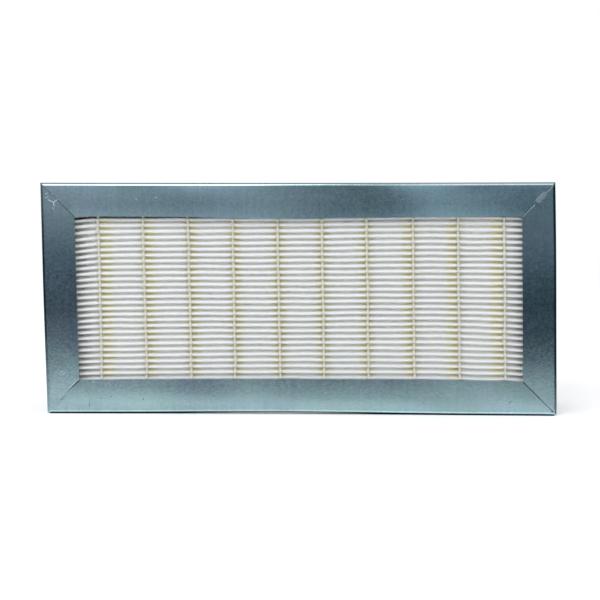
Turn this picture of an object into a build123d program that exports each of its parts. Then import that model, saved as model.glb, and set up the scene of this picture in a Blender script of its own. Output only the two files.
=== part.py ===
from build123d import *
import os

# Pleated air filter panel: millimetres, x across the face, y from front to back, z up
# The origin is under the middle of the bottom channel, on the surface that the panel stands on

# Frame
frame_width = 287.0
frame_height = 130.0
frame_depth = 50.0
flange_width = 19.0
sheet_thickness = 0.8
bend_radius = 1.8
bottom_corner_radius = 2.0
mitre_gap = 0.16

# Corner tabs, folded from the top and bottom webs and spot welded behind the side webs
tab_width = 38.0
tab_length = 15.0

# Pleated filter media
pleat_count = 34
pleat_pitch = 3.3
crest_clearance = 1.7
media_thickness = 0.6
crest_chamfer = 0.22

# Hot melt beads that space the pleats
bead_count = 10
bead_spacing = 25.4
bead_width = 1.5
bead_height = 0.4
bead_array_shift = 1.3

# Potting compound between the pack and the frame
side_potting_thickness = 9.0
pack_seat_depth = 3.0

# Foam gasket on the rear flanges
gasket_width = 15.0
gasket_thickness = 5.0

# Dab of sealant smeared over the top right mitre of the front face
dab_length = 7.4
dab_width = 3.6
dab_thickness = 0.4
dab_along_mitre = 12.1

# Sizes that follow
half_width = frame_width / 2
half_height = frame_height / 2
half_depth = frame_depth / 2
inner_bend_radius = bend_radius - sheet_thickness
channel_room = frame_depth - 2 * sheet_thickness
pleat_depth = channel_room - 2 * crest_clearance
half_pack_depth = pleat_depth / 2
half_pack_height = pleat_count * pleat_pitch / 2
side_potting_outside = half_width - sheet_thickness
side_potting_inside = side_potting_outside - side_potting_thickness
half_pack_length = side_potting_inside + pack_seat_depth
gasket_inset = (flange_width - gasket_width) / 2

# Where each channel lies: x runs along it, z points into the frame
bottom_run = Plane((0, 0, 0), x_dir=(1, 0, 0), z_dir=(0, 0, 1))
top_run = Plane((0, 0, frame_height), x_dir=(1, 0, 0), z_dir=(0, 0, -1))
left_run = Plane((-half_width, 0, half_height), x_dir=(0, 0, 1), z_dir=(1, 0, 0))
right_run = Plane((half_width, 0, half_height), x_dir=(0, 0, 1), z_dir=(-1, 0, 0))

os.makedirs("parts", exist_ok=True)


def save(part, label):
    """Name a finished piece and write its file."""
    part.label = label
    export_step(part, f"parts/{label}.step")


def end_view(run):
    """Sketch plane across a channel: x runs over its depth, y points into the frame."""
    return Plane(run.origin, x_dir=run.y_dir, z_dir=run.x_dir)


def side_view(run):
    """Sketch plane along a channel: x runs along it, y points into the frame."""
    return Plane(run.origin, x_dir=run.x_dir, z_dir=-run.y_dir)


def rounded_corner_waste():
    """What the rounding takes off the two bottom corners of the frame."""
    with BuildPart() as waste:
        with BuildSketch(Plane.XZ):
            for side in (-1, 1):
                with Locations((side * half_width, 0)):
                    Rectangle(2 * bottom_corner_radius, 2 * bottom_corner_radius)
                with Locations((side * (half_width - bottom_corner_radius), bottom_corner_radius)):
                    Circle(bottom_corner_radius, mode=Mode.SUBTRACT)
        extrude(amount=frame_depth, both=True)
    return waste.part


def mitred_channel(run, half_length):
    """U section of folded sheet whose ends are cut at 45 degrees, half the gap short of the corner."""
    set_back = mitre_gap / 2 * 2**0.5
    with BuildPart() as channel:
        with BuildSketch(end_view(run)):
            with BuildLine():
                FilletPolyline(
                    (-half_depth, flange_width),
                    (-half_depth, 0),
                    (half_depth, 0),
                    (half_depth, flange_width),
                    radius=bend_radius,
                )
                offset(amount=sheet_thickness, side=Side.LEFT)
            make_face()
        extrude(amount=half_length, both=True)
        with BuildSketch(side_view(run)):
            for end in (-1, 1):
                with BuildLine():
                    Polyline(
                        (end * (half_length - set_back + bend_radius), -bend_radius),
                        (end * (half_length - set_back - 2 * flange_width), 2 * flange_width),
                        (end * (half_length + bend_radius), 2 * flange_width),
                        (end * (half_length + bend_radius), -bend_radius),
                        close=True,
                    )
                make_face()
        extrude(amount=frame_depth, both=True, mode=Mode.SUBTRACT)
    return channel.part


def tabbed_channel(run):
    """Top or bottom channel: its web folds into a tab at each end, behind the side channel's web."""
    tab_face = half_width - sheet_thickness
    with BuildPart() as channel:
        add(mitred_channel(run, half_width))
        with BuildSketch(run):
            for end in (-1, 1):
                with Locations((end * half_width, 0)):
                    Rectangle(2 * (sheet_thickness + bend_radius), tab_width + 2 * sheet_thickness)
        extrude(amount=sheet_thickness, mode=Mode.SUBTRACT)
        with BuildSketch(side_view(run)):
            with BuildLine():
                FilletPolyline(
                    (-tab_face, tab_length),
                    (-tab_face, 0),
                    (tab_face, 0),
                    (tab_face, tab_length),
                    radius=bend_radius,
                )
                offset(amount=sheet_thickness, side=Side.LEFT)
            make_face()
        extrude(amount=tab_width / 2, both=True)
        add(rounded_corner_waste(), mode=Mode.SUBTRACT)
    return channel.part


def side_channel(run):
    """Left or right channel."""
    with BuildPart() as channel:
        add(mitred_channel(run, half_height))
        add(rounded_corner_waste(), mode=Mode.SUBTRACT)
    return channel.part


def crest_heights(count):
    """Heights of evenly pitched folds, centred on the frame."""
    return [half_height + (k - (count - 1) / 2) * pleat_pitch for k in range(count)]


def skin_points(heights):
    """One skin of the folded sheet, upwards: depth 0 at the middle, crests at the negative side."""
    crest = -half_pack_depth
    valley = half_pack_depth - media_thickness
    flank_slope = (pleat_pitch / 2 - media_thickness) / (valley - crest)
    shoulder = media_thickness + flank_slope * crest_chamfer
    points = [(valley, heights[0] - pleat_pitch / 2)]
    for z in heights:
        points += [
            (crest + crest_chamfer, z - shoulder),
            (crest, z - media_thickness + crest_chamfer),
            (crest, z + media_thickness - crest_chamfer),
            (crest + crest_chamfer, z + shoulder),
            (valley, z + pleat_pitch / 2),
        ]
    return points


def pleated_media():
    """One sheet folded into the whole pack, extruded along the folds."""
    front = skin_points(crest_heights(pleat_count))
    rear = [(-y, z) for y, z in skin_points(crest_heights(pleat_count + 1))]
    bottom_edge = half_height - half_pack_height
    top_edge = half_height + half_pack_height
    rear = [(y, z) for y, z in rear if bottom_edge < z < top_edge]
    rear = [(half_pack_depth, bottom_edge)] + rear + [(half_pack_depth, top_edge)]
    with BuildPart() as media:
        with BuildSketch(Plane.YZ):
            with BuildLine():
                Polyline(*front, *reversed(rear), close=True)
            make_face()
        extrude(amount=half_pack_length, both=True)
    return media.part


def bead_comb(x, heights, facing):
    """Glue bead: a thread over the crests with a wedge down every valley, facing -1 front or 1 rear."""
    bottom_edge = half_height - half_pack_height
    top_edge = half_height + half_pack_height
    crest = facing * half_pack_depth
    valley = facing * (media_thickness - half_pack_depth)
    thread = facing * (half_pack_depth + bead_height)
    outline = [(thread, top_edge), (thread, bottom_edge)]
    if facing < 0:
        outline.append((valley, bottom_edge))
    else:
        outline += [(crest, bottom_edge), (crest, bottom_edge + media_thickness)]
        outline.append((valley, bottom_edge + pleat_pitch / 2))
    for z in heights:
        outline += [
            (crest, z - media_thickness),
            (crest, z + media_thickness),
            (valley, z + pleat_pitch / 2),
        ]
    if facing > 0:
        outline += [(crest, top_edge - media_thickness), (crest, top_edge)]
    with BuildPart() as comb:
        with BuildSketch(Plane.YZ.offset(x)):
            with BuildLine():
                Polyline(*outline, close=True)
            make_face()
        extrude(amount=bead_width / 2, both=True)
    return comb.part


def side_potting():
    """Right-hand slab of compound: the pack's end and the corner tabs sit in it."""
    middle = (side_potting_outside + side_potting_inside) / 2
    tab_back = side_potting_outside - sheet_thickness
    with BuildPart() as slab:
        with BuildSketch(Plane.XZ):
            with Locations((middle, half_height)):
                Rectangle(side_potting_thickness, frame_height - 2 * sheet_thickness)
        extrude(amount=channel_room / 2, both=True)
        outer_face = slab.faces().sort_by(Axis.X)[-1]
        run_edges = slab.edges().filter_by(Axis.X)
        chamfer(outer_face.edges() + run_edges, length=inner_bend_radius)
        tab_room = [
            (half_width, 0),
            (tab_back - inner_bend_radius, 0),
            (tab_back - inner_bend_radius, sheet_thickness),
            (tab_back, sheet_thickness + inner_bend_radius),
            (tab_back, tab_length),
            (half_width, tab_length),
        ]
        with BuildSketch(Plane.XZ):
            with BuildLine():
                Polyline(*tab_room, close=True)
            make_face()
            with BuildLine():
                Polyline(*[(x, frame_height - z) for x, z in tab_room], close=True)
            make_face()
        extrude(amount=tab_width / 2, both=True, mode=Mode.SUBTRACT)
        with BuildSketch(Plane.YZ.offset(side_potting_inside)):
            with Locations((0, half_height)):
                Rectangle(pleat_depth, 2 * half_pack_height)
        extrude(amount=pack_seat_depth, mode=Mode.SUBTRACT)
    return slab.part


# Channels of the frame
with BuildPart() as bottom_channel:
    add(tabbed_channel(bottom_run))
save(bottom_channel.part, "bottom_channel")

with BuildPart() as top_channel:
    add(tabbed_channel(top_run))
save(top_channel.part, "top_channel")

with BuildPart() as left_channel:
    add(side_channel(left_run))
save(left_channel.part, "left_channel")

with BuildPart() as right_channel:
    add(side_channel(right_run))
save(right_channel.part, "right_channel")

# Folded media pack
with BuildPart() as media_pack:
    add(pleated_media())
save(media_pack.part, "pleated_media")

# Glue beads down the front and the rear of the pack
for k in range(bead_count):
    bead_x = bead_array_shift + (k - (bead_count - 1) / 2) * bead_spacing
    save(bead_comb(bead_x, crest_heights(pleat_count), -1), f"front_bead_{k + 1:02d}")
    save(bead_comb(bead_x, crest_heights(pleat_count - 1), 1), f"rear_bead_{k + 1:02d}")

# Potting along the pack's cut ends
with BuildPart() as potting_right:
    add(side_potting())
save(potting_right.part, "potting_right")

with BuildPart() as potting_left:
    mirror(potting_right.part, about=Plane.YZ)
save(potting_left.part, "potting_left")

# Potting above and below the pack, from the channel's web to the outermost fold
with BuildPart() as potting_bottom:
    with BuildSketch(Plane.YZ):
        with BuildLine():
            Polyline(
                (-channel_room / 2, half_height - half_pack_height),
                (-channel_room / 2, sheet_thickness + inner_bend_radius),
                (inner_bend_radius - channel_room / 2, sheet_thickness),
                (channel_room / 2 - inner_bend_radius, sheet_thickness),
                (channel_room / 2, sheet_thickness + inner_bend_radius),
                (channel_room / 2, half_height - half_pack_height),
                close=True,
            )
        make_face()
    extrude(amount=side_potting_inside, both=True)
save(potting_bottom.part, "potting_bottom")

with BuildPart() as potting_top:
    mirror(potting_bottom.part, about=Plane.XY.offset(half_height))
save(potting_top.part, "potting_top")


def gasket_strip(x, z, across, up):
    """Flat foam strip on the rear face, centred at x and z."""
    with BuildPart() as strip:
        with BuildSketch(Plane.XZ.offset(-half_depth)):
            with Locations((x, z)):
                Rectangle(across, up)
        extrude(amount=-gasket_thickness)
    return strip.part


# Gasket strips, butted at the corners
strip_line = flange_width / 2
long_strip = frame_width - 2 * gasket_inset
short_strip = frame_height - 2 * (gasket_inset + gasket_width)
save(gasket_strip(0, strip_line, long_strip, gasket_width), "gasket_bottom")
save(gasket_strip(0, frame_height - strip_line, long_strip, gasket_width), "gasket_top")
save(gasket_strip(strip_line - half_width, half_height, gasket_width, short_strip), "gasket_left")
save(gasket_strip(half_width - strip_line, half_height, gasket_width, short_strip), "gasket_right")

# Sealant dab across the top right mitre
with BuildPart() as mitre_sealant_dab:
    back_off = dab_along_mitre / 2**0.5
    dab_middle = (half_width - back_off, -half_depth, frame_height - back_off)
    with BuildSketch(Plane(dab_middle, x_dir=(1, 0, 1), z_dir=(0, -1, 0))) as smear:
        Rectangle(dab_length, dab_width)
        chamfer(smear.vertices(), length=dab_width / 3)
    extrude(amount=dab_thickness)
save(mitre_sealant_dab.part, "mitre_sealant_dab")
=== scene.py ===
"""Pleated air filter panel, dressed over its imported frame: galvanised channels, folded media,
glue beads, potting, foam gasket and a dab of sealant.

Lengths in the code are millimetres in the panel's own frame. A mesh turns them into metres.
"""

import math

import bmesh
import bpy
import numpy as np
from bpy.props import FloatProperty, FloatVectorProperty, IntProperty, PointerProperty
from mathutils import Matrix, Vector


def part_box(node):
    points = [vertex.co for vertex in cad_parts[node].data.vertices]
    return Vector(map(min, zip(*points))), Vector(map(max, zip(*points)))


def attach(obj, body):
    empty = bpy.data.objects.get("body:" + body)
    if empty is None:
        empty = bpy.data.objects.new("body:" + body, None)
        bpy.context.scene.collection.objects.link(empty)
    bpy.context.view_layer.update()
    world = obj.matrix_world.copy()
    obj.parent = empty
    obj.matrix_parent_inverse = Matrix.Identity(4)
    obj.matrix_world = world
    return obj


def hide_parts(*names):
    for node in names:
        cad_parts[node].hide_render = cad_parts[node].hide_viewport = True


bl_info = {
    "name": "Pleated Filter Panel",
    "version": (1, 0, 0),
    "blender": (4, 5, 0),
    "location": "View3D > Sidebar > Filter Panel",
    "description": "Dresses a packed filter panel: sheet metal, media, glue, potting and foam",
    "category": "Object",
}

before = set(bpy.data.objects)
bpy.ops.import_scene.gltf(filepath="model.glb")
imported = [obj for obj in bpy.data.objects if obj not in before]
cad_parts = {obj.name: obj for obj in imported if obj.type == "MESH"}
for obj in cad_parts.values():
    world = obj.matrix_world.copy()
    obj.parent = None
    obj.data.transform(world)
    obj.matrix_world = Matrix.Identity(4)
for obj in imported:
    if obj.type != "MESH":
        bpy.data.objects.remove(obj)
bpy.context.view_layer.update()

MM = 0.001


def node_box(node):
    """Lowest and highest corner of a CAD node in millimetres."""
    low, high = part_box(node)
    return np.array(low) / MM, np.array(high) / MM


def node_points(node):
    """Every vertex of a CAD node in millimetres."""
    return np.array([v.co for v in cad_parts[node].data.vertices]) / MM


half_width = node_box("bottom_channel")[1][0]
frame_height = node_box("top_channel")[1][2]
half_depth = node_box("bottom_channel")[1][1]
flange_width = node_box("bottom_channel")[1][2]
pack_low, pack_high = node_box("pleated_media")
front_bead_nodes = sorted(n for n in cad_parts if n.startswith("front_bead"))
rear_bead_nodes = sorted(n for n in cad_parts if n.startswith("rear_bead"))
bead_boxes = [node_box(n) for n in front_bead_nodes]
bead_lines = [float((low[0] + high[0]) / 2) for low, high in bead_boxes]
bead_spacing = float(np.diff(bead_lines).mean())
bead_width = bead_boxes[0][1][0] - bead_boxes[0][0][0]
bead_proud = pack_low[1] - bead_boxes[0][0][1]

# How far each bead was laid off its even place
bead_stray = (0.95, 0.95, 0.85, 0.5, 0.25, -0.3, -0.7, -0.35, -0.5, -0.4)


def fold_heights():
    """Heights of the folds at the front of the pack, from the two corners that each tip has."""
    points = node_points("pleated_media")
    tips = np.unique(np.round(points[np.abs(points[:, 1] - pack_low[1]) < 0.01][:, 2], 3))
    return tips.reshape(-1, 2).mean(axis=1)


front_folds = fold_heights()
fold_pitch = float(np.diff(front_folds).mean())

# Half the thickness of a fold behind its rounded nose, and how deep that nose is
fold_half = 0.54
nose_depth = 0.5

# The rear folds lie between the front ones
rear_folds = np.append(front_folds, front_folds[-1] + fold_pitch) - fold_pitch / 2


# Settings


def colour_setting(name, description, default):
    """Setting for the colour of a material."""
    return FloatVectorProperty(
        name=name, description=description, subtype="COLOR", size=3, min=0, max=1, default=default
    )


def length_setting(name, description, millimetres, **limits):
    """Setting for a length, with its default given in millimetres."""
    return FloatProperty(
        name=name, description=description, unit="LENGTH", default=millimetres * MM, **limits
    )


class SheetSettings(bpy.types.PropertyGroup):
    """Galvanised channels of the frame."""

    zinc_colour: colour_setting(
        "Zinc colour", "Colour of the galvanised sheet", (0.325, 0.49, 0.55)
    )
    out_of_square: length_setting(
        "Out of square", "How far the top of the panel stands to the left of its bottom", 2.18
    )
    rubbed_edge: length_setting(
        "Rubbed edge", "Width of the softened edge of the sheet", 0.12, min=0
    )
    bottom_bow: length_setting(
        "Bottom bow", "How far the bottom channel bows into the frame at its middle", 1.12
    )
    top_bow: length_setting(
        "Top bow", "How far the top channel bows into the frame at its middle", 0.225
    )
    ripple: length_setting("Ripple", "Height of the slow ripples over the flanges", 0.06)
    lifted_lip: length_setting(
        "Lifted lip", "How far the two lifted mitre edges stand off the face", 0.12
    )


class MediaSettings(bpy.types.PropertyGroup):
    """Folded filter media."""

    media_colour: colour_setting(
        "Media colour", "Colour of the filter paper", (0.785, 0.805, 0.88)
    )
    left_droop: length_setting(
        "Left droop", "Sag of the upper folds at the left end, beyond the last bead", 2.4
    )
    right_droop: length_setting(
        "Right droop", "Sag of the lower folds at the right end, beyond the last bead", 1.6
    )
    waviness: length_setting("Waviness", "Wander of the folds between two beads", 0.24)
    groove_depth: length_setting(
        "Groove depth", "Depth of the open grooves between two folds", 4.2
    )
    stations_per_bay: IntProperty(
        name="Stations per bay",
        description="Cross sections of the media between two beads",
        min=4,
        default=8,
    )


class GlueSettings(bpy.types.PropertyGroup):
    """Hot melt beads."""

    fresh_colour: colour_setting(
        "Thin glue colour", "Colour of the glue where it lies over the folds", (0.67, 0.67, 0.61)
    )
    amber_colour: colour_setting(
        "Deep glue colour", "Colour of the glue down in the valleys", (0.66, 0.6, 0.37)
    )
    scallop: length_setting("Scallop", "How far the glue dips in between two folds", 1.2)
    wander: length_setting("Wander", "How far a bead strays to either side of its line", 0.25)


class TrimSettings(bpy.types.PropertyGroup):
    """Potting, gasket and sealant."""

    potting_colour: colour_setting(
        "Potting colour", "Colour of the potting compound", (0.8, 0.78, 0.7)
    )
    foam_colour: colour_setting("Foam colour", "Colour of the gasket foam", (0.1, 0.1, 0.11))
    sealant_colour: colour_setting(
        "Sealant colour", "Colour of the smeared sealant", (0.13, 0.18, 0.22)
    )


class StudioSettings(bpy.types.PropertyGroup):
    """Camera, floor and light."""

    camera_place: FloatVectorProperty(
        name="Camera place",
        description="Where the camera stands",
        subtype="XYZ",
        unit="LENGTH",
        size=3,
        default=(0.0206, -0.675, 0.1088),
    )
    camera_turn: FloatVectorProperty(
        name="Camera turn",
        description="Yaw and pitch of the camera in degrees",
        size=2,
        default=(-1.737, -3.888),
    )
    focal_length: FloatProperty(
        name="Focal length",
        description="Focal length in millimetres on a sensor 36 mm wide",
        default=70.06,
    )
    sky_level: FloatProperty(
        name="Sky level",
        description="Strength of the even light from all round",
        default=0.82,
    )
    key_power: FloatProperty(
        name="Key power",
        description="Power of the soft lamp above the camera",
        unit="POWER",
        default=7.0,
    )


# Shader building


def add_node(tree, kind, **values):
    """Node of one kind: its sockets by name or number, its options by attribute."""
    node = tree.nodes.new(kind)
    for key, value in values.items():
        if hasattr(node, key):
            setattr(node, key, value)
        else:
            node.inputs[key.replace("_", " ")].default_value = value
    return node


def arithmetic(tree, operation, first, second=None, third=None, clamp=False):
    """Math node; each operand is a number or a socket."""
    node = tree.nodes.new("ShaderNodeMath")
    node.operation = operation
    node.use_clamp = clamp
    for socket, operand in zip(node.inputs, (first, second, third)):
        if isinstance(operand, (int, float)):
            socket.default_value = operand
        elif operand is not None:
            tree.links.new(operand, socket)
    return node.outputs[0]


def product(tree, first, *others):
    """Sockets and numbers multiplied in order."""
    for other in others:
        first = arithmetic(tree, "MULTIPLY", first, other)
    return first


def vector_arithmetic(tree, operation, first, second=None, output=0):
    """Vector math node; each operand is three numbers or a socket."""
    node = tree.nodes.new("ShaderNodeVectorMath")
    node.operation = operation
    for socket, operand in zip(node.inputs, (first, second)):
        if isinstance(operand, tuple):
            socket.default_value = operand
        elif operand is not None:
            tree.links.new(operand, socket)
    return node.outputs[output]


def ramp(tree, value, low, high, smooth=True):
    """Value taken from low..high to 0..1."""
    node = tree.nodes.new("ShaderNodeMapRange")
    node.interpolation_type = "SMOOTHSTEP" if smooth else "LINEAR"
    tree.links.new(value, node.inputs["Value"])
    node.inputs["From Min"].default_value = low
    node.inputs["From Max"].default_value = high
    return node.outputs["Result"]


def near(tree, value, centre, outer, inner):
    """Mask that falls from 1 within the inner distance of a centre to 0 at the outer one."""
    away = arithmetic(tree, "ABSOLUTE", arithmetic(tree, "SUBTRACT", value, centre))
    return ramp(tree, away, outer, inner)


def blend(tree, share, first, second, mode="MIX"):
    """Mix of two colours; each is three numbers or a socket."""
    node = tree.nodes.new("ShaderNodeMix")
    node.data_type = "RGBA"
    node.blend_type = mode
    pairs = ((node.inputs[0], share), (node.inputs[6], first), (node.inputs[7], second))
    for socket, operand in pairs:
        if isinstance(operand, (int, float)):
            socket.default_value = operand
        elif isinstance(operand, tuple):
            socket.default_value = (*operand, 1)
        else:
            tree.links.new(operand, socket)
    return node.outputs[2]


def effect_group(name, inputs, outputs):
    """Empty node group with named sockets, and its input and output nodes."""
    group = bpy.data.node_groups.new(name, "ShaderNodeTree")
    for kind, label, default in inputs:
        socket = group.interface.new_socket(label, in_out="INPUT", socket_type=kind)
        socket.default_value = default
    for kind, label in outputs:
        group.interface.new_socket(label, in_out="OUTPUT", socket_type=kind)
    return group, group.nodes.new("NodeGroupInput"), group.nodes.new("NodeGroupOutput")


FLOAT, VECTOR = "NodeSocketFloat", "NodeSocketVector"


def place_in_millimetres(tree):
    """Socket with the point's place on the panel, in millimetres."""
    where = tree.nodes.new("ShaderNodeTexCoord")
    return vector_arithmetic(tree, "MULTIPLY", where.outputs["Object"], (1 / MM,) * 3)


def place_axes(tree):
    """Sockets with the point's x, y and z on the panel, in millimetres."""
    split = tree.nodes.new("ShaderNodeSeparateXYZ")
    tree.links.new(place_in_millimetres(tree), split.inputs[0])
    return split.outputs


def clouds_group():
    """Soft patches: noise of one size that may be stretched along an axis."""
    group, given, out = effect_group(
        "Clouds",
        [
            (FLOAT, "Size", 10.0),
            (FLOAT, "Detail", 2.0),
            (VECTOR, "Stretch", (1, 1, 1)),
            (FLOAT, "Low", 0.35),
            (FLOAT, "High", 0.65),
        ],
        [(FLOAT, "Mask")],
    )
    place = place_in_millimetres(group)
    place = vector_arithmetic(group, "DIVIDE", place, given.outputs["Stretch"])
    noise = add_node(group, "ShaderNodeTexNoise")
    noise.inputs["Roughness"].default_value = 0.55
    group.links.new(place, noise.inputs["Vector"])
    group.links.new(arithmetic(group, "DIVIDE", 1.0, given.outputs["Size"]), noise.inputs["Scale"])
    group.links.new(given.outputs["Detail"], noise.inputs["Detail"])
    spread = add_node(group, "ShaderNodeMapRange", interpolation_type="SMOOTHSTEP")
    group.links.new(noise.outputs["Fac"], spread.inputs["Value"])
    group.links.new(given.outputs["Low"], spread.inputs["From Min"])
    group.links.new(given.outputs["High"], spread.inputs["From Max"])
    group.links.new(spread.outputs["Result"], out.inputs["Mask"])
    return group


def specks_group():
    """Scattered small spots of one size, on a share of the cells of a loose grid."""
    group, given, out = effect_group(
        "Specks",
        [
            (FLOAT, "Spacing", 8.0),
            (FLOAT, "Radius", 0.3),
            (FLOAT, "Share", 0.3),
            (FLOAT, "Seed", 0.0),
        ],
        [(FLOAT, "Mask")],
    )
    place = place_in_millimetres(group)
    shift = group.nodes.new("ShaderNodeCombineXYZ")
    for axis in range(3):
        group.links.new(given.outputs["Seed"], shift.inputs[axis])
    place = vector_arithmetic(group, "ADD", place, shift.outputs[0])
    cells = add_node(group, "ShaderNodeTexVoronoi", feature="F1")
    group.links.new(place, cells.inputs["Vector"])
    spacing = given.outputs["Spacing"]
    group.links.new(arithmetic(group, "DIVIDE", 1.0, spacing), cells.inputs["Scale"])
    away = arithmetic(group, "MULTIPLY", cells.outputs["Distance"], spacing)
    away = arithmetic(group, "DIVIDE", away, given.outputs["Radius"])
    spot = arithmetic(group, "SUBTRACT", 1.5, away, clamp=True)
    pick = group.nodes.new("ShaderNodeSeparateColor")
    group.links.new(cells.outputs["Color"], pick.inputs[0])
    chosen = arithmetic(group, "LESS_THAN", pick.outputs[0], given.outputs["Share"])
    group.links.new(product(group, spot, chosen, pick.outputs[1]), out.inputs["Mask"])
    return group


def stroke_group():
    """A short mark on the front face: soft line from one point to another."""
    group, given, out = effect_group(
        "Stroke",
        [(VECTOR, "From", (0, 0, 0)), (VECTOR, "To", (1, 0, 0)), (FLOAT, "Width", 0.4)],
        [(FLOAT, "Mask")],
    )
    place = place_in_millimetres(group)
    along = vector_arithmetic(group, "SUBTRACT", given.outputs["To"], given.outputs["From"])
    off = vector_arithmetic(group, "SUBTRACT", place, given.outputs["From"])
    off = vector_arithmetic(group, "MULTIPLY", off, (1.0, 0.0, 1.0))
    run = vector_arithmetic(group, "DOT_PRODUCT", off, along, output=1)
    square = vector_arithmetic(group, "DOT_PRODUCT", along, along, output=1)
    share = arithmetic(group, "DIVIDE", run, square, clamp=True)
    foot = group.nodes.new("ShaderNodeVectorMath")
    foot.operation = "SCALE"
    group.links.new(along, foot.inputs[0])
    group.links.new(share, foot.inputs["Scale"])
    gap = vector_arithmetic(group, "SUBTRACT", off, foot.outputs[0])
    gap = vector_arithmetic(group, "LENGTH", gap, output=1)
    gap = arithmetic(group, "DIVIDE", gap, given.outputs["Width"])
    line = arithmetic(group, "SUBTRACT", 1.0, gap, clamp=True)
    facing = group.nodes.new("ShaderNodeSeparateXYZ")
    group.links.new(place, facing.inputs[0])
    front = arithmetic(group, "LESS_THAN", facing.outputs[1], 2.0 - half_depth)
    group.links.new(arithmetic(group, "MULTIPLY", line, front), out.inputs["Mask"])
    return group


effect_makers = {"Clouds": clouds_group, "Specks": specks_group, "Stroke": stroke_group}


def effect(tree, name, **values):
    """Mask from one of the shared groups, placed with its own values."""
    group = bpy.data.node_groups.get(name) or effect_makers[name]()
    node = tree.nodes.new("ShaderNodeGroup")
    node.node_tree = group
    for key, value in values.items():
        node.inputs[key].default_value = value
    return node.outputs["Mask"]


def new_material(name, **values):
    """Material with the constants set on its Principled shader."""
    material = bpy.data.materials.new(name)
    material.use_nodes = True
    shader = material.node_tree.nodes["Principled BSDF"]
    for key, value in values.items():
        shader.inputs[key.replace("_", " ")].default_value = value
    return material, material.node_tree, shader


def toned(colour, factor, limit=1.0):
    """A colour made darker or lighter, up to a limit."""
    return tuple(min(limit, c * factor) for c in colour)


def add_bump(tree, shader, height, distance, strength=1.0):
    """Feed a height in millimetres into the shader's normal."""
    bump = add_node(tree, "ShaderNodeBump", Strength=strength, Distance=distance * MM)
    tree.links.new(height, bump.inputs["Height"])
    tree.links.new(bump.outputs["Normal"], shader.inputs["Normal"])


def marks(tree, strokes):
    """All strokes of one kind in one mask. A stroke is x, z, x, z, width."""
    total = 0.0
    for x0, z0, x1, z1, width in strokes:
        one = effect(tree, "Stroke", From=(x0, 0, z0), To=(x1, 0, z1), Width=width)
        total = arithmetic(tree, "MAXIMUM", total, one)
    return total


# Marks on the face: from x and z to x and z, and a width. The pale ones are real scratches, and
# painted highlights along the lifted mitre edges at top right and bottom left
scratches_and_edge_highlights = [
    (-139.9, 120.5, -136.9, 119.1, 0.32),
    (-136.9, 119.1, -134.8, 120.4, 0.32),
    (-136.9, 119.1, -136.6, 117.2, 0.34),
    (-141.5, 123.5, -140.1, 124.3, 0.2),
    (-141.5, 121.5, -139.7, 122.1, 0.18),
    (-137.5, 116.1, -136.9, 115.0, 0.16),
    (123.95, 111.0, 130.5, 117.55, 0.34),
    (134.6, 121.8, 141.0, 128.2, 0.14),
    (-124.4, 19.2, -129.1, 14.7, 0.34),
    (-134.9, 22.9, -132.9, 24.0, 0.18),
    (-133.6, 22.2, -131.6, 22.9, 0.14),
    (-90.6, 120.9, -90.3, 120.4, 0.26),
    (-79.6, 121.8, -79.3, 121.4, 0.26),
]
# Dark ones are real nicks, and painted shadow in the open mitre gaps at all four corners
nicks_and_gap_shadows = [
    (-144.0, 129.4, -125.4, 111.1, 0.52),
    (123.4, 111.1, 129.7, 117.5, 0.3),
    (130.3, 117.8, 141.2, 128.8, 0.14),
    (-123.7, 18.9, -127.2, 15.4, 0.6),
    (125.4, 18.8, 138.3, 6.2, 0.55),
    (138.3, 6.2, 143.4, 1.2, 0.38),
    (117.6, 6.6, 118.4, 8.1, 0.3),
    (118.4, 8.1, 119.1, 8.0, 0.26),
    (-111.6, 8.9, -111.3, 8.6, 0.4),
    (-106.1, 9.9, -105.8, 9.7, 0.35),
    (-87.4, 8.8, -87.3, 8.1, 0.3),
    (-117.7, 8.6, -118.0, 4.4, 0.18),
    (83.6, 118.6, 84.2, 117.4, 0.5),
    (80.3, 118.8, 80.7, 118.0, 0.38),
]

# Colours on the zinc
# Painted glint: colour of the bright specks that stand in for light caught by the spangle
zinc_glint = (0.85, 0.92, 0.96)
zinc_grain = (0.75, 0.8, 0.82)
# Real scratches, and painted highlights on the lifted mitre edges
scratch_and_highlight_tone = (0.62, 0.74, 0.82)
grime = (0.1, 0.13, 0.15)
# Painted shadow in the mitre gaps, and the tone of the real nicks
nick_and_gap_shadow_tone = (0.02, 0.03, 0.045)


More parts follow.
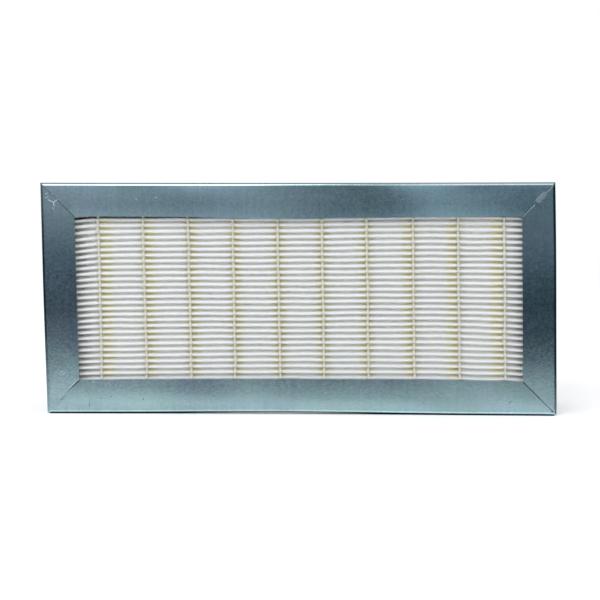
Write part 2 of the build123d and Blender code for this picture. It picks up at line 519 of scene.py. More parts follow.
def galvanised_sheet(colour):
    """Zinc-coated sheet: cloudy tone, spangle, drawn streaks, specks, painted glints, nicks and
    scratches, painted mitre shade and highlights.
    """
    material, tree, shader = new_material("galvanised_sheet", Metallic=1.0)

    cloudy = effect(tree, "Clouds", Size=32.0, Detail=4.0, Stretch=(1.4, 1, 0.8), Low=0.3, High=0.7)
    streaks = effect(tree, "Clouds", Size=1.6, Detail=2.0, Stretch=(1, 1, 14.0), Low=0.3, High=0.7)
    spangle = effect(tree, "Clouds", Size=1.5, Detail=3.0, Low=0.3, High=0.7)
    tone = blend(tree, cloudy, toned(colour, 0.88), toned(colour, 1.09))
    patches = effect(tree, "Clouds", Size=19.0, Detail=3.0, Low=0.35, High=0.65)
    tone = blend(tree, patches, tone, (0.98, 1.05, 0.95), mode="MULTIPLY")
    grain = arithmetic(tree, "MULTIPLY_ADD", streaks, 0.45, spangle)
    tone = blend(tree, product(tree, grain, 0.17), tone, zinc_grain)
    # Painted glints: bright specks in loose groups, standing in for light that the spangle catches
    glints = effect(tree, "Specks", Spacing=2.9, Radius=0.28, Share=0.5, Seed=3.0)
    groups = effect(tree, "Clouds", Size=26.0, Detail=1.0, Low=0.42, High=0.6)
    glints = product(tree, glints, groups)
    tone = blend(tree, arithmetic(tree, "MULTIPLY", glints, 1.6, clamp=True), tone, zinc_glint)
    spots = effect(tree, "Specks", Spacing=11.0, Radius=0.4, Share=0.25, Seed=41.0)
    tone = blend(tree, product(tree, spots, 0.6), tone, grime)
    # Dark marks: real nicks, and painted shadow in the mitre gaps
    nick_and_gap_shadow_mask = marks(tree, nicks_and_gap_shadows)
    tone = blend(tree, product(tree, nick_and_gap_shadow_mask, 0.95), tone, nick_and_gap_shadow_tone)
    # Pale marks: real scratches, and painted highlights on the lifted mitre edges
    scratch_and_highlight_mask = marks(tree, scratches_and_edge_highlights)
    tone = blend(tree, scratch_and_highlight_mask, tone, scratch_and_highlight_tone)
    tree.links.new(tone, shader.inputs["Base Color"])
    rough = arithmetic(tree, "MULTIPLY_ADD", spangle, 0.03, 0.065)
    rough = arithmetic(tree, "MULTIPLY_ADD", cloudy, 0.02, rough)
    rough = arithmetic(tree, "MULTIPLY_ADD", scratch_and_highlight_mask, 0.3, rough)
    tree.links.new(rough, shader.inputs["Roughness"])
    # Less metallic over the real scratches and nicks, and over the painted mitre shade and
    # highlights
    worn = arithmetic(tree, "MAXIMUM", scratch_and_highlight_mask, nick_and_gap_shadow_mask)
    bare = arithmetic(tree, "MULTIPLY_ADD", worn, -0.75, 1.0)
    tree.links.new(bare, shader.inputs["Metallic"])
    tooth = effect(tree, "Clouds", Size=0.35, Detail=2.0, Low=0.2, High=0.8)
    height = arithmetic(tree, "MULTIPLY_ADD", spangle, 0.6, tooth)
    add_bump(tree, shader, height, 0.004)
    return material


# Colours on the paper
# Painted light: paper deep in the grooves is made lighter, in place of the light that the folds
# shade off
painted_groove_light = (0.91, 0.925, 0.88)
glue_stain = (0.885, 0.85, 0.62)


def filter_paper(colour):
    """Matt fibrous sheet, lit through its folds, painted lighter deep in its grooves, stained by
    the glue deep between them.
    """
    material, tree, shader = new_material(
        "filter_media",
        Roughness=0.9,
        Specular_IOR_Level=0.15,
        Subsurface_Weight=1.0,
        Subsurface_Radius=(1.0, 1.0, 0.94),
        Subsurface_Scale=0.006,
    )
    cloudy = effect(tree, "Clouds", Size=9.0, Detail=3.0, Low=0.3, High=0.7)
    fibres = effect(tree, "Clouds", Size=0.45, Detail=3.0, Stretch=(3.0, 1, 1), Low=0.25, High=0.75)
    shade = arithmetic(tree, "MULTIPLY_ADD", fibres, 0.35, product(tree, cloudy, 0.5))
    tone = blend(tree, shade, toned(colour, 0.96), toned(colour, 1.02, limit=0.95))
    x, y, z = place_axes(tree)
    depth = arithmetic(tree, "ABSOLUTE", y)
    # Painted light: the paper gets lighter with depth in the grooves
    sunk = ramp(tree, depth, pack_high[1] - 0.8, pack_high[1] - 2.3)
    tone = blend(tree, sunk, tone, painted_groove_light)

    # Distance to the nearest bead: the lines lean with the panel and draw in towards its middle
    upright = arithmetic(tree, "SUBTRACT", z, frame_height / 2)
    upright = arithmetic(tree, "MULTIPLY_ADD", upright, lean_share(), x)
    line = arithmetic(tree, "SUBTRACT", upright, bead_lines[0] - 50 * bead_spacing)
    inward = arithmetic(tree, "SUBTRACT", x, 2.0)
    line = arithmetic(tree, "MULTIPLY_ADD", inward, 0.038, line)
    gap = arithmetic(tree, "PINGPONG", line, bead_spacing / 2)
    patchy = effect(tree, "Clouds", Size=2.4, Detail=2.0, Low=0.35, High=0.7)
    gap = arithmetic(tree, "MULTIPLY_ADD", patchy, 1.8, gap)
    stain = product(tree, ramp(tree, gap, 7.4, 0.4), sunk)
    tree.links.new(blend(tree, stain, tone, glue_stain), shader.inputs["Base Color"])
    add_bump(tree, shader, fibres, 0.05, 0.8)
    return material


def hot_melt(thin, deep):
    """Waxy glue, cream over the folds and amber down in the valleys."""
    material, tree, shader = new_material("hot_melt_glue", Roughness=0.42)
    depth = arithmetic(tree, "ABSOLUTE", place_axes(tree)[1])
    sunk = ramp(tree, depth, pack_high[1] + 0.1, pack_high[1] - 3.0)
    mottle = effect(tree, "Clouds", Size=2.2, Detail=3.0, Low=0.3, High=0.7)
    share = arithmetic(tree, "MULTIPLY_ADD", mottle, 0.25, product(tree, sunk, 0.85))
    tree.links.new(blend(tree, share, thin, deep), shader.inputs["Base Color"])
    lumps = effect(tree, "Clouds", Size=0.9, Detail=1.0, Low=0.2, High=0.8)
    add_bump(tree, shader, lumps, 0.05, 0.6)
    return material


def potting(colour):
    """Poured compound: satin, with faint flow marks."""
    material, tree, shader = new_material("potting_compound", Roughness=0.4)
    flow = effect(tree, "Clouds", Size=7.0, Detail=3.0, Stretch=(1, 1, 2.5), Low=0.3, High=0.7)
    tone = blend(tree, flow, toned(colour, 0.9), colour)
    bubbles = effect(tree, "Specks", Spacing=2.6, Radius=0.25, Share=0.3, Seed=7.0)
    tone = blend(tree, product(tree, bubbles, 0.4), tone, toned(colour, 0.6))
    tree.links.new(tone, shader.inputs["Base Color"])
    height = arithmetic(tree, "SUBTRACT", flow, bubbles)
    add_bump(tree, shader, height, 0.12, 0.7)
    return material


def closed_cell_foam(colour):
    """Fine foam: dark pores over a dull skin."""
    material, tree, shader = new_material("gasket_foam", Roughness=0.85, Sheen_Weight=0.15)
    pores = effect(tree, "Specks", Spacing=0.75, Radius=0.22, Share=0.8, Seed=13.0)
    cloudy = effect(tree, "Clouds", Size=5.0, Detail=3.0, Low=0.3, High=0.7)
    tone = blend(tree, cloudy, toned(colour, 0.8), toned(colour, 1.25))
    tone = blend(tree, product(tree, pores, 0.6), tone, toned(colour, 0.3))
    tree.links.new(tone, shader.inputs["Base Color"])
    height = arithmetic(tree, "SUBTRACT", product(tree, cloudy, 0.3), pores)
    add_bump(tree, shader, height, 0.15, 0.8)
    return material


def sealant(colour):
    """Smeared grey compound with wipe marks along the joint."""
    material, tree, shader = new_material("frame_sealant", Roughness=0.5)
    wipes = effect(tree, "Clouds", Size=0.7, Detail=2.0, Stretch=(2.0, 1, 1), Low=0.25, High=0.75)
    tone = blend(tree, wipes, toned(colour, 0.85), toned(colour, 1.15))
    tree.links.new(tone, shader.inputs["Base Color"])
    add_bump(tree, shader, wipes, 0.08, 0.7)
    return material


# Meshes


def lean_share():
    """How far the panel leans to the left for each millimetre of its height."""
    return bpy.context.scene.filter_panel_sheet.out_of_square / MM / frame_height


def lean(points):
    """Points of the square panel, moved to where the real one stands: a little out of square."""
    moved = np.array(points, float)
    moved[:, 0] -= lean_share() * (moved[:, 2] - frame_height / 2)
    return moved


def add_piece(name, points, faces, material, nodes, crease):
    """Closed mesh from points in millimetres, riding on the panel in place of its CAD nodes."""
    mesh = bpy.data.meshes.new(name)
    mesh.from_pydata(lean(points) * MM, [], faces)
    solid = bmesh.new()
    solid.from_mesh(mesh)
    bmesh.ops.recalc_face_normals(solid, faces=solid.faces)
    solid.to_mesh(mesh)
    solid.free()
    finish_piece(name, mesh, material, nodes, crease)


def finish_piece(name, mesh, material, nodes, crease):
    """Shade a mesh, link it and hand it to the frame."""
    mesh.materials.clear()
    mesh.materials.append(material)
    mesh.polygons.foreach_set("use_smooth", [True] * len(mesh.polygons))
    mesh.set_sharp_from_angle(angle=math.radians(crease))
    mesh.update()
    piece = bpy.data.objects.new(name, mesh)
    bpy.context.scene.collection.objects.link(piece)
    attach(piece, "root")
    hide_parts(*nodes)
    return piece


def loft(rings):
    """Points and faces of a skin through rings of equally many points, closed at both ends."""
    count, size = len(rings), len(rings[0])
    points = np.concatenate(rings)
    faces = []
    for i in range(count - 1):
        for j in range(size):
            k = (j + 1) % size
            faces.append((i * size + j, i * size + k, (i + 1) * size + k, (i + 1) * size + j))
    faces.append(tuple(range(size))[::-1])
    faces.append(tuple(range((count - 1) * size, count * size)))
    return points, faces


def ease(t):
    """Smooth step from 0 to 1."""
    t = np.clip(t, 0.0, 1.0)
    return t * t * (3 - 2 * t)


def swell(x, middle, reach):
    """Smooth hump of height 1 that has mostly died out at twice its reach."""
    return np.exp(-(((x - middle) / reach) ** 2))


# The underside of the bottom channel lifts most at one place, and less to either side of it
bow_middle, bow_reach = -12.0, 75.0

# Sheet further than this from the middle of the depth belongs to a flange
flange_from = 20.0

# The bends of the long channels die out over this height of the sides, and their ripples this
# far from every bend
bend_fade, ripple_fade = 25.0, 5.0

# How far the right side leans in at its top, and the left side stands out at its middle
right_pinch, left_bulge = 0.45, 0.25

# Height of the inner edge of the top channel along its length
sway_places = (-124, -112, -84, -62, -41, -10, 2, 22, 56, 88, 105, 116, 124)
top_edge_sway = (-0.04, 0.34, 0.15, 0.08, -0.5, -0.83, -1.08, -0.58, -0.31, 0.14, 0.3, 0.18, -0.05)


def bow(points, sheet):
    """Slow bends that the long channels have taken up, and the ripples of their flanges."""
    x, y, z = points.T
    arch = np.clip(1 - (x / half_width) ** 2, 0, 1)
    low = 1 - ease((z - flange_width) / bend_fade)
    high = 1 - ease((frame_height - z - flange_width) / bend_fade)
    off_ends = ease((half_width - np.abs(x)) / ripple_fade)
    off_bends = off_ends * ease(z / ripple_fade) * ease((frame_height - z) / ripple_fade)
    inward = np.clip(z / flange_width, 0, 1)
    lifted = 0.2 * off_ends + 0.85 * swell(x, bow_middle, bow_reach)
    rise = sheet.bottom_bow / MM * (lifted + inward * (arch - lifted)) * low
    fall = sheet.top_bow / MM * arch * high
    sway = np.interp(x, sway_places, top_edge_sway)
    reach = np.clip((frame_height - z) / flange_width, 0, 1) ** 2 * high
    ripple = sheet.ripple / MM * (
        np.sin(x / 17.0 + z / 31.0)
        + 0.7 * np.sin(x / 41.0 - z / 13.0 + 1.0)
        + 0.5 * np.sin(x / 9.5 + z / 23.0 + 2.0)
    )
    up = np.clip(z / frame_height, 0, 1)
    moved = points.copy()
    moved[:, 2] += rise - fall + sway * reach
    moved[:, 0] -= right_pinch * ease((x - 128) / 14) * np.clip((z - 75) / 55, 0, 1) ** 2
    moved[:, 0] -= left_bulge * ease((-x - 128) / 14) * np.sin(np.pi * up) ** 2
    moved[:, 1] += ripple * off_bends * np.sign(y) * ease((np.abs(y) - flange_from) / 4)
    return moved


# The sheet is worn this far back from a mitre. The gap turns from the outer to the inner one
# over a run that begins this far from the web.
wear_reach, inner_start, inner_run = 3.5, 12.0, 4.0

# Gap of each mitred end at its inner and at its outer end
mitre_wear = {
    ("top_channel", -1): (0.06, 0.06),
    ("top_channel", 1): (0.09, 0.06),
    ("bottom_channel", -1): (0.24, -0.06),
    ("bottom_channel", 1): (0.1, 0.03),
    ("left_channel", 1): (0.05, 0.05),
    ("left_channel", -1): (0.2, -0.06),
    ("right_channel", 1): (0.09, 0.06),
    ("right_channel", -1): (0.09, 0.03),
}
lifted_ends = {("right_channel", 1), ("left_channel", -1)}


def open_mitres(points, node, sheet):
    """Set the flange ends back to the gaps that the real joints show, and lift two worn lips."""
    upright = node in ("left_channel", "right_channel")
    run = points[:, 2] - frame_height / 2 if upright else points[:, 0]
    half_run = frame_height / 2 if upright else half_width
    web = {
        "left_channel": points[:, 0] + half_width,
        "right_channel": half_width - points[:, 0],
        "bottom_channel": points[:, 2],
        "top_channel": frame_height - points[:, 2],
    }[node]
    front = points[:, 1] < 1.5 - half_depth
    moved = points.copy()
    for end in (-1, 1):
        inner_gap, outer_gap = mitre_wear[node, end]
        away = half_run - web - run * end
        at_joint = np.where(front, 1 - ease(away / wear_reach), 0)
        inner = ease((web - inner_start) / inner_run)
        back = (outer_gap + (inner_gap - outer_gap) * inner) * 2**0.5
        moved[:, 2 if upright else 0] -= end * back * at_joint
        if (node, end) in lifted_ends:
            lip = np.where(front, 1 - ease((away - 0.1) / 0.8), 0)
            moved[:, 1] -= sheet.lifted_lip / MM * lip * ease((web - 11.5) / 2.5)
    return moved


def fine_copy(node, soft_edge, cut_length):
    """Editable copy of a CAD node in millimetres: soft edges, and faces cut fine enough to bend."""
    solid = bmesh.new()
    solid.from_mesh(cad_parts[node].data)
    bmesh.ops.scale(solid, vec=(1 / MM,) * 3, verts=solid.verts)
    bmesh.ops.remove_doubles(solid, verts=solid.verts, dist=0.004)
    bmesh.ops.dissolve_limit(
        solid, angle_limit=math.radians(0.5), verts=solid.verts, edges=solid.edges
    )
    sharp = [
        e
        for e in solid.edges
        if len(e.link_faces) == 2 and e.is_convex and e.calc_face_angle(0) > math.radians(50)
    ]
    bmesh.ops.bevel(
        solid,
        geom=sharp,
        offset=soft_edge,
        offset_type="OFFSET",
        segments=2,
        profile=0.5,
        affect="EDGES",
        clamp_overlap=True,
    )
    low, high = node_box(node)
    for axis in (0, 2):
        for value in np.arange(low[axis] + 0.8 * cut_length, high[axis] - 0.3, cut_length):
            spot, normal = [0.0] * 3, [0.0] * 3
            spot[axis], normal[axis] = value, 1.0
            everything = solid.verts[:] + solid.edges[:] + solid.faces[:]
            bmesh.ops.bisect_plane(
                solid, geom=everything, dist=1e-4, plane_co=spot, plane_no=normal
            )
    bmesh.ops.triangulate(solid, faces=[f for f in solid.faces if len(f.verts) > 4])
    return solid


def place_copy(solid, points, name, material, node):
    """Give a fine copy its final points and hand it to the frame."""
    for vertex, point in zip(solid.verts, lean(points)):
        vertex.co = point * MM
    mesh = bpy.data.meshes.new(name)
    solid.to_mesh(mesh)
    solid.free()
    piece = finish_piece(name, mesh, material, [node], crease=38.0)
    even = piece.modifiers.new("Even shading", "WEIGHTED_NORMAL")
    even.keep_sharp = True


def dress_channel(node, material, sheet):
    """Channel with rubbed edges, bowed and rippled, its mitres opened as they have worn."""
    solid = fine_copy(node, sheet.rubbed_edge / MM, cut_length=4.0)
    points = np.array([v.co for v in solid.verts])
    x, y, z = points.T
    face = np.sign(y) * (np.abs(y) > flange_from)

    # The bottom flanges lean in by a hair, and the inner edge of the top ones is curled in
    if node == "bottom_channel":
        lean_in = 0.055 + 0.015 * swell(x, 25, 50) + 0.028 * swell(x, -85, 55)
        points[:, 1] -= face * lean_in * np.clip(z / flange_width, 0, 1) ** 2
    if node == "top_channel":
        points[:, 1] += face * 0.065 * ease((frame_height - z - flange_width + 3.0) / 3.0)
    points = bow(open_mitres(points, node, sheet), sheet)
    place_copy(solid, points, node + "_sheet", material, node)


def pour_slab(node, material):
    """Potting slab whose free faces have set with slow waves."""
    solid = fine_copy(node, soft_edge=0.25, cut_length=4.0)
    points = np.array([v.co for v in solid.verts])
    x, y, z = points.T
    wave = 0.12 * np.sin(x / 11.0 + y / 5.0) + 0.1 * np.sin(z / 6.0 - y / 9.0)
    low, high = node_box(node)
    if node in ("potting_left", "potting_right"):
        inner = low[0] if node == "potting_right" else high[0]
        free = np.abs(x - inner) < 0.3
        points[:, 0] += np.where(free, wave, 0)
    else:
        inner = high[2] if node == "potting_bottom" else low[2]
        free = (np.abs(z - inner) < 0.3) & (np.abs(y) > pack_high[1] + 0.1)
        points[:, 2] += np.where(free, wave * 0.5, 0)
    place_copy(solid, points, node + "_slab", material, node)


# How the folds lie


def smooth_noise(seed, rows, columns):
    """Random numbers of -1 to 1 that drift slowly from row to row."""
    raw = np.random.default_rng(seed).uniform(-1, 1, (rows + 4, columns))
    kernel = (0.15, 0.22, 0.26, 0.22, 0.15)
    return sum(w * raw[i : i + rows] for i, w in enumerate(kernel)) * 1.6


def fold_rise(rows):
    """How far the folds near the top of the pack were pushed up, by fold."""
    # Counted down from the highest fold in view, it builds up over two and dies out over seventeen
    from_top = len(front_folds) - 4 - np.asarray(rows, float)
    return 0.75 * ease((from_top + 1.2) / 2.2) * (1 - ease((from_top - 1) / 17)) - 0.1


# How far the folds have settled up or down: one row for each height, one number for each place
settle_places = (-122, -104, -84, -52, -20, 14, 46, 78, 100, 122)
settle_heights = (20, 48, 76, 98, 110)
settled_by = (
    (-1.16, -0.96, -0.58, -0.2, 0.2, 0.04, 0.12, 0.18, -0.28, -0.53),
    (-0.96, -0.56, -0.32, 0.14, 0.12, 0.45, 0.84, 1.15, 0.49, 0.0),
    (-1.02, -0.8, -0.74, -0.37, -0.19, 0.15, 0.34, 0.51, 0.56, 0.46),
    (-1.62, -1.01, -0.6, -0.71, -0.58, -0.4, 0.01, 0.26, 0.0, -0.17),
    (-0.42, -0.63, -0.62, -0.45, -0.38, -0.45, 0.3, 0.5, 0.67, 0.26),
)


def settled(x, heights):
    """How far the pack has settled askew in its frame, at heights by places."""
    lines = np.array([np.interp(x, settle_places, line) for line in settled_by])
    return np.array([[np.interp(z, settle_heights, column) for column in lines.T] for z in heights])


def pushed(heights):
    """How far a fold stands forward where it lies next to the inner edge of the bottom flange."""
    return 0.9 * swell(np.asarray(heights, float), flange_width + 0.5, 2.6)


def past_beads(x):
    """Share of the way from the outermost beads to the left and to the right end of the pack."""
    left = (bead_lines[0] - x) / (bead_lines[0] - pack_low[0])
    right = (x - bead_lines[-1]) / (pack_high[0] - bead_lines[-1])
    return left, right


def drift(x, media, facing):
    """Height offset of every fold at the places x, as rows by places. The beads hold the folds."""
    count = len(front_folds) if facing < 0 else len(rear_folds)
    rows = np.arange(count)
    x = np.asarray(x, float)
    offset = np.zeros((count, len(x)))
    if facing < 0:
        held_ends = np.clip(rows / 3.0, 0, 1) * np.clip((count - 1 - rows) / 2.0, 0, 1)
        offset += fold_rise(rows)[:, None] + settled(x, front_folds) * held_ends[:, None]
    noise = smooth_noise(11 if facing < 0 else 23, count, len(bead_lines) + 1)
    fine = smooth_noise(31 if facing < 0 else 47, count, len(bead_lines) + 1)
    for bay, (start, end) in enumerate(zip(bead_lines, bead_lines[1:])):
        t = (x - start) / (end - start)
        wave = np.sin(np.pi * t) * noise[:, bay : bay + 1]
        wave += 0.5 * np.sin(2 * np.pi * t) * fine[:, bay : bay + 1]
        offset += np.where((t > 0) & (t < 1), wave * media.waviness / MM, 0)

    # Beyond the beads the upper folds droop most at the left, and the lower ones at the right
    share = rows / (count - 1)
    upper = 0.6 + 0.4 * ease((share - 0.5) / 0.3)
    lower = 0.35 + 0.65 * (1 - ease((share - 0.2) / 0.5))
    sag_left = media.left_droop / MM * upper + 0.35 * noise[:, -1]
    sag_right = media.right_droop / MM * lower + 0.3 * fine[:, -1]
    held_foot = np.clip(rows / 3.0, 0, 1) * (1.0 if facing < 0 else 0.4)
    for sag, past in zip((sag_left, sag_right), past_beads(x)):
        offset -= (sag * held_foot)[:, None] * np.clip(past, 0, 1) ** 1.25
    offset[[0, -1]] = 0.0
    return offset


def fold_media(context):
    """The pack: one folded sheet, its folds rounded and wandering between the beads."""
    media = context.scene.filter_panel_media
    tip, half = pack_high[1], fold_half
    floor, narrow = pack_high[1] - media.groove_depth / MM, 0.3
    around = np.radians([-90, -62, -32, 0, 32, 62, 90])

    def face_chain(folds, facing):
        chain = []
        for k, z in enumerate(folds):
            chain.append((floor * facing, z - fold_pitch / 2 + narrow, facing, k))
            for t in around:
                depth = tip - nose_depth * (1 - math.cos(t))
                chain.append((depth * facing, z + half * math.sin(t), facing, k))
            chain.append((floor * facing, z + fold_pitch / 2 - narrow, facing, k))
        return chain

    front, rear = face_chain(front_folds, -1), face_chain(rear_folds, 1)
    low_end, high_end = front[0][1], front[-1][1]
    rear = [(y, min(max(z, low_end), high_end), facing, k) for y, z, facing, k in rear]
    section = []
    for point in front + rear[::-1]:
        if not section or point[:2] != section[-1][:2]:
            section.append(point)
    section = np.array(section)
    steps = media.stations_per_bay
    places = [np.linspace(pack_low[0], bead_lines[0], steps + 1)]
    for a, b in zip(bead_lines, bead_lines[1:]):
        places.append(np.linspace(a, b, steps + 1)[1:])
    places.append(np.linspace(bead_lines[-1], pack_high[0], steps + 1)[1:])
    places = np.concatenate(places)
    drifts = {-1: drift(places, media, -1), 1: drift(places, media, 1)}

    # How far each fold stands back from the face of the pack
    heave = {s: 0.12 * smooth_noise(5 + s, len(d), len(places)) for s, d in drifts.items()}
    facing, row = section[:, 2].astype(int), section[:, 3].astype(int)
    forward = pushed(front_folds[np.minimum(row, len(front_folds) - 1)])

    # The grooves are deeper next to the top flange and towards both ends
    under_flange = 1.3 * swell(section[:, 1], frame_height - flange_width, 1.4)
    in_groove = np.abs(section[:, 0]) < floor + 0.01
    rings = []
    for i, x in enumerate(places):
        shift = np.array([drifts[s][r, i] for s, r in zip(facing, row)])
        surge = np.array([abs(heave[s][r, i]) * -s for s, r in zip(facing, row)])
        surge -= np.where(facing < 0, forward, 0)
        deeper = (under_flange + 0.65 * ease(max(past_beads(x)) / 0.6)) * (floor - tip)
        surge += facing * np.where(in_groove, deeper, 0)
        across = np.full(len(section), x)
        rings.append(np.column_stack([across, section[:, 0] + surge, section[:, 1] + shift]))
    points, faces = loft(rings)
    paper = filter_paper(tuple(media.media_colour))
    add_piece("folded_media", points, faces, paper, ["pleated_media"], crease=60.0)


def bead_stations(x, facing, glue, media):
    """Heights up one bead, each with the depths of the glue's outer and inner side."""
    folds = front_folds if facing < 0 else rear_folds[1:-1]
    rows = np.arange(len(folds)) + (0 if facing < 0 else 1)
    inside = [np.clip(x, bead_lines[0], bead_lines[-1])]
    heights = folds + drift(inside, media, facing)[rows, 0]
    tip = pack_high[1]
    scallop = glue.scallop / MM
    valley = tip - 2.2 - scallop
    reach, sink = tip + 0.6 * bead_proud, 0.05
    stations = []

    def over_fold(z):
        for t in (-60, -30, 0, 30, 60):
            a = math.radians(t)
            inner = tip - nose_depth * (1 - math.cos(a)) - sink
            outer = reach - 0.25 * (1 - math.cos(a))
            stations.append((z + fold_half * math.sin(a), outer, inner))

    def down_side(edge, middle, shares):
        for s in shares:
            inner = (tip - nose_depth) + s * (valley - tip + nose_depth)
            outer = reach - 0.15 - scallop * math.sin(0.5 * math.pi * (0.2 + 0.8 * s)) ** 2
            stations.append((edge + s * (middle - edge), outer, inner))

    side_shares = (0.0, 0.12, 0.4, 0.75)
    for i, z in enumerate(heights):
        over_fold(z)
        if i + 1 < len(heights):
            middle = (z + heights[i + 1]) / 2
            down_side(z + fold_half - sink, middle, side_shares)
            stations.append((middle, reach - 0.15 - scallop, valley + 0.05))
            down_side(heights[i + 1] - fold_half + sink, middle, side_shares[::-1])
    return stations


# Outline of a bead across: share of half its width, and how far back from its crown
bead_outline = ((-1, 0.3), (-0.72, 0.1), (0, 0.0), (0.72, 0.1), (1, 0.3))


def bead_skin(x, facing, glue, media, seed):
    """Rings of one glue bead from the bottom of the pack to its top."""
    stations = bead_stations(x, facing, glue, media)
    rng = np.random.default_rng(seed)
    along = np.arange(len(stations))

    def wander(step):
        levels = rng.uniform(-1, 1, len(stations) // step + 4)
        return np.interp(along / step, np.arange(len(levels)), levels)

    strays = wander(45) * glue.wander / MM + wander(7) * 0.12
    widths = bead_width * (0.9 + 0.18 * wander(10))
    rings = []
    for (z, outer, inner), stray, width in zip(stations, strays, widths):
        forward = pushed([z])[0] if facing < 0 else 0.0
        outer, inner = outer + forward, inner + forward
        depths = [inner] + [max(outer - back, inner + 0.02) for _, back in bead_outline] + [inner]
        shares = [-1] + [share for share, _ in bead_outline] + [1]
        ring = [(x + stray + s * width / 2, y * facing, z) for s, y in zip(shares, depths)]
        rings.append(np.array(ring))
    return rings


def lay_beads(context):
    """All the glue beads, front and rear."""
    glue, media = context.scene.filter_panel_glue, context.scene.filter_panel_media
    material = hot_melt(tuple(glue.fresh_colour), tuple(glue.amber_colour))
    for facing, nodes in ((-1, front_bead_nodes), (1, rear_bead_nodes)):
        for i, node in enumerate(nodes):
            line = bead_lines[i] + bead_stray[i % len(bead_stray)]
            rings = bead_skin(line, facing, glue, media, 100 + 20 * facing + i)
            points, faces = loft(rings)
            add_piece("glue_" + node, points, faces, material, [node], crease=70.0)


def gasket_skin(low, high, seed):
    """Foam strip: rounded, slightly uneven, a little proud in its middle."""
    long_axis = 0 if high[0] - low[0] > high[2] - low[2] else 2
    cross_axis = 2 - long_axis
    half = (high[cross_axis] - low[cross_axis]) / 2
    middle = (high[cross_axis] + low[cross_axis]) / 2
    y0, y1 = low[1], high[1]
    profile = []
    for share in np.linspace(-1, 1, 13):
        profile.append((share * (half - 0.5), y1 - 0.12 * share**4))
    corner = [(half - 0.13, y1 - 0.3), (half - 0.02, y1 - 0.75)]
    side = [(half - 0.15, y1 - 1.8), (half - 0.22, (y0 + y1) / 2), (half - 0.12, y0 + 1.0)]
    side.append((half, y0))
    profile += corner + side
    profile += [(-u, y) for u, y in (corner + side)[::-1]]
    profile = np.array(profile)
    rng = np.random.default_rng(seed)
    length = high[long_axis] - low[long_axis]
    steps = max(12, int(length / 3.5))
    runs = np.linspace(0, length, steps + 1)
    runs = np.concatenate([[0.0, 0.15, 0.6], runs[1:-1], [length - 0.6, length - 0.15, length]])
    wobble = rng.uniform(-1, 1, (len(runs), 2))
    wobble = (wobble + np.roll(wobble, 1, 0) + np.roll(wobble, -1, 0)) / 3
    rings = []
    for i, s in enumerate(runs):
        tuck = max(0.0, 0.45 - min(s, length - s)) * 0.9
        u, y = profile[:, 0].copy(), profile[:, 1].copy()
        free = (y - y0) / (y1 - y0)
        u *= 1 - tuck / half
        y -= free * (tuck + 0.12 * abs(wobble[i, 0]))
        ring = np.zeros((len(profile), 3))
        ring[:, long_axis] = low[long_axis] + s
        ring[:, cross_axis] = middle + u + 0.1 * free * wobble[i, 1] * (np.abs(u) < half - 0.1)
        ring[:, 1] = y
        rings.append(ring)
    return rings


def dab_skin(low, high):
    """Flat smear of sealant with a ragged outline, thin at its rim and domed in its middle."""
    centre = (low + high) / 2
    along, across = np.array((1, 1)) / 2**0.5, np.array((-1, 1)) / 2**0.5
    rim = [
        (3.6, 0.4), (3.75, 0.95), (3.1, 1.55), (2.0, 1.5), (1.0, 1.72), (-0.4, 1.45), (-1.6, 1.62),
        (-2.7, 1.3), (-3.55, 1.2), (-3.75, 0.3), (-3.3, -0.8), (-2.6, -1.5), (-1.5, -1.75),
        (-0.6, -1.4), (0.4, -1.72), (1.5, -1.65), (2.2, -1.2), (3.0, -1.35), (3.5, -0.5),
    ]
    fine = []
    for (a0, c0), (a1, c1) in zip(rim, rim[1:] + rim[:1]):
        fine += [(a0, c0), ((a0 + a1) / 2, (c0 + c1) / 2)]
    rim = np.array(fine)
    face, top = high[1], low[1]
    rings = []
    for grow, back in ((0.97, 0.02), (1.0, -0.06), (0.97, -0.18), (0.86, -0.28)):
        rings.append((grow, face + back))
    for grow, rise in ((0.62, 0.86), (0.36, 0.97), (0.12, 1.0)):
        rings.append((grow, face + (top - face) * rise))
    made = []
    for grow, y in rings:
        flat = rim * grow
        place = centre[[0, 2]] + flat[:, :1] * along + flat[:, 1:] * across
        made.append(np.column_stack([place[:, 0], np.full(len(rim), y), place[:, 1]]))
    return made


# What the sheet mirrors, by the angle of the direction in degrees.
# Below eye level the colours go by rise: pale floor, dark band, grey wall.
lower_room_stops = [
    (-16.0, (1.0, 1.0, 1.0)),
    (-9.1, (0.97, 0.98, 1.0)),
    (-8.6, (0.78, 0.8, 0.82)),
    (-8.2, (0.61, 0.63, 0.65)),
    (-7.8, (0.53, 0.55, 0.57)),
    (-7.1, (0.37, 0.38, 0.41)),
    (-6.3, (0.17, 0.17, 0.2)),
    (-5.3, (0.16, 0.15, 0.2)),
    (-4.2, (0.17, 0.165, 0.21)),
    (-3.2, (0.0, 0.02, 0.04)),
    (-2.3, (0.05, 0.085, 0.13)),
    (-1.3, (0.32, 0.34, 0.39)),
    (-0.3, (0.28, 0.3, 0.33)),
    (1.2, (0.36, 0.36, 0.38)),
]
